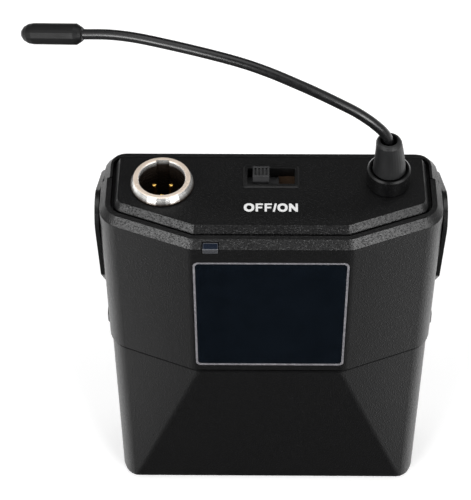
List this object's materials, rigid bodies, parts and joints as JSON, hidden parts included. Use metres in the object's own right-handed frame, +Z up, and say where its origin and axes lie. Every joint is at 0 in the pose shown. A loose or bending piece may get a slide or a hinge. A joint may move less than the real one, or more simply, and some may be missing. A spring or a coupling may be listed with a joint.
{
  "type": "wireless microphone body pack transmitter",
  "caption": "Belt-worn radio transmitter with a mini microphone socket, slide switch, bendable wire antenna, hinged battery door and sprung belt clip.",
  "frame": {"origin": "centre of the footprint of casing and clip, at the level of the casing's base", "axes": "+Z up towards the end panel, -Y towards the label, +Y towards the belt clip, +X from the socket towards the antenna"},
  "size_m": [0.0793, 0.0325, 0.1123],
  "materials": {
    "black_plastic": "fine grain, matte",
    "board": "solder mask",
    "clip_steel": "black, satin",
    "gold": "gold plate",
    "insulator": "moulded",
    "label_gloss": "glossy film",
    "led_plastic": "polished, smoky",
    "nickel": "bright nickel plate",
    "panel_plastic": "smooth, satin",
    "phenolic": "laminate",
    "rubber": "satin",
    "steel": "dark zinc",
    "switch_metal": "plated",
    "tin": "tin plate"
  },
  "bodies": {
    "casing": {"antenna_boot": "rubber", "antenna_cable": "rubber", "antenna_cap": "rubber", "antenna_collar": "rubber", "antenna_nut": "nickel", "back_shell": "black_plastic", "battery_spring_lower": "nickel", "battery_spring_upper": "nickel", "battery_tray": "black_plastic", "board_screw_left": "steel", "board_screw_right": "steel", "case_screw_1": "steel", "case_screw_2": "steel", "case_screw_3": "steel", "case_screw_4": "steel", "circuit_board": "board", "clip_pivot_left": "steel", "clip_pivot_right": "steel", "contact_bridge": "nickel", "contact_plate_lower": "nickel", "contact_plate_upper": "nickel", "front_shell": "black_plastic", "hinge_pin": "steel", "label_plate": "label_gloss", "led_window": "led_plastic", "shield_can": "tin", "socket_barrel": "nickel", "socket_insulator": "insulator", "socket_nut": "nickel", "socket_pin_1": "gold", "socket_pin_2": "gold", "socket_pin_3": "gold", "status_led": "led_plastic", "switch_frame": "switch_metal", "switch_wafer": "phenolic", "top_panel": "panel_plastic"},
    "power_slider": {"switch_knob": "black_plastic"},
    "battery_door": {"battery_door": "black_plastic"},
    "latch_left": {"latch_button_left": "black_plastic"},
    "latch_right": {"latch_button_right": "black_plastic"},
    "belt_clip": {"belt_clip": "clip_steel"}
  },
  "joints": [
    {"name": "switch_slide", "type": "slide", "parent": "casing", "child": "power_slider", "axis": [1, 0, 0], "range_m": [0, 0.0038]},
    {"name": "door_hinge", "type": "hinge", "parent": "casing", "child": "battery_door", "pos_m": [0, -0.00658, 0.0025], "axis": [1, 0, 0], "range_deg": [0, 80]},
    {"name": "latch_left_press", "type": "slide", "parent": "casing", "child": "latch_left", "axis": [1, 0, 0], "range_m": [0, 0.0008], "stiffness_N_per_m": 400, "springref_m": -0.0002},
    {"name": "latch_right_press", "type": "slide", "parent": "casing", "child": "latch_right", "axis": [-1, 0, 0], "range_m": [0, 0.0008], "stiffness_N_per_m": 400, "springref_m": -0.0002},
    {"name": "clip_hinge", "type": "hinge", "parent": "casing", "child": "belt_clip", "pos_m": [0, -0.00105, 0.0773], "axis": [1, 0, 0], "range_deg": [0, 20], "stiffness_Nm_per_rad": 0.3, "springref_deg": -2.86}
  ]
}
